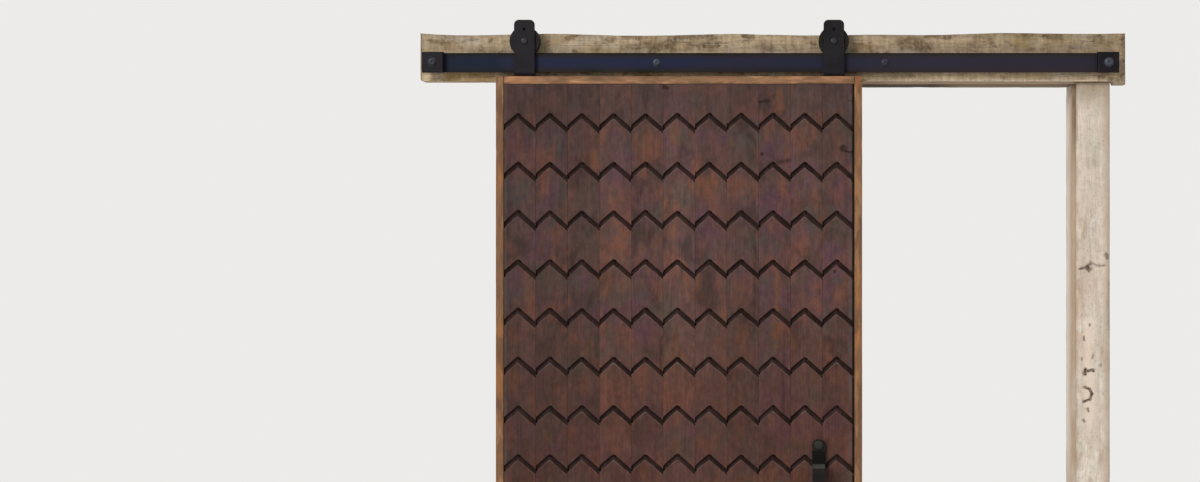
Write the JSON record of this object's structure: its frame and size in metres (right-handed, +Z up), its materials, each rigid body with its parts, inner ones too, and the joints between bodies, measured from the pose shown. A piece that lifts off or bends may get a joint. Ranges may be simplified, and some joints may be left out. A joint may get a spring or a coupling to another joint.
{
  "type": "sliding barn door with frame",
  "caption": "Single sliding door of upright planks with carved sawtooth rows, hung by two grooved wheels on a flat steel track, with its header board, casings, jamb liners and pull handle.",
  "frame": {"origin": "middle of the header board's back face, on the wall plane", "axes": "+X along the track to the right seen from the room, +Y back into the wall, +Z up"},
  "size_m": [1.867, 0.2592, 2.1942],
  "materials": {
    "header_wood": "weathered, sawn",
    "casing_wood": "pale, weathered",
    "jamb_wood": "pale, matte",
    "face_wood": "dark, oiled",
    "core_wood": "dark, matte",
    "strip_wood": "oiled",
    "rail_steel": "satin, blue-black",
    "black_steel": "satin black",
    "wheel_steel": "satin black",
    "screw_steel": "black oxide",
    "handle_iron": "satin black",
    "bearing_steel": "ground"
  },
  "bodies": {
    "frame": {"header_board": "header_wood", "track_rail": "rail_steel", "standoff_spacers": "black_steel", "rail_lag_screws": "screw_steel", "rail_washers": "screw_steel", "stop_lag_screws": "screw_steel", "stop_washers": "screw_steel", "end_stop_left": "black_steel", "end_stop_right": "black_steel", "casing_left": "casing_wood", "casing_right": "casing_wood", "jamb_left": "jamb_wood", "jamb_right": "jamb_wood", "jamb_head": "jamb_wood", "floor_guide": "black_steel", "guide_screws": "screw_steel"},
    "door": {"door_core": "core_wood", "edge_strip_top": "strip_wood", "edge_strip_bottom": "strip_wood", "edge_strip_left": "strip_wood", "edge_strip_right": "strip_wood", "plank_01": "face_wood", "plank_02": "face_wood", "plank_03": "face_wood", "plank_04": "face_wood", "plank_05": "face_wood", "plank_06": "face_wood", "plank_07": "face_wood", "plank_08": "face_wood", "plank_09": "face_wood", "plank_10": "face_wood", "plank_11": "face_wood", "hanger_strap_left": "black_steel", "hanger_strap_right": "black_steel", "hanger_screws": "screw_steel", "axle_bolts": "screw_steel", "axle_spacers": "bearing_steel", "axle_washers": "bearing_steel", "axle_nuts": "screw_steel", "bearing_inner_races": "bearing_steel", "pull_handle": "handle_iron", "handle_screws": "handle_iron"},
    "wheel_left": {"wheel_left": "wheel_steel", "wheel_bearing_left": "bearing_steel"},
    "wheel_right": {"wheel_right": "wheel_steel", "wheel_bearing_right": "bearing_steel"}
  },
  "joints": [
    {"name": "door_slide", "type": "slide", "parent": "frame", "child": "door", "axis": [1, 0, 0], "range_m": [-0.182, 0.664]},
    {"name": "wheel_left_spin", "type": "hinge", "parent": "door", "child": "wheel_left", "pos_m": [-0.65186, -0.06918, 0.0407], "axis": [0, 1, 0], "range_deg": [-360, 1280]},
    {"name": "wheel_right_spin", "type": "hinge", "parent": "door", "child": "wheel_right", "pos_m": [0.16014, -0.06918, 0.0407], "axis": [0, 1, 0], "range_deg": [-360, 1280]}
  ],
  "couplings": [
    {"joint": "wheel_left_spin", "follows": "door_slide", "rad_per_m": 33.333},
    {"joint": "wheel_right_spin", "follows": "door_slide", "rad_per_m": 33.333}
  ]
}
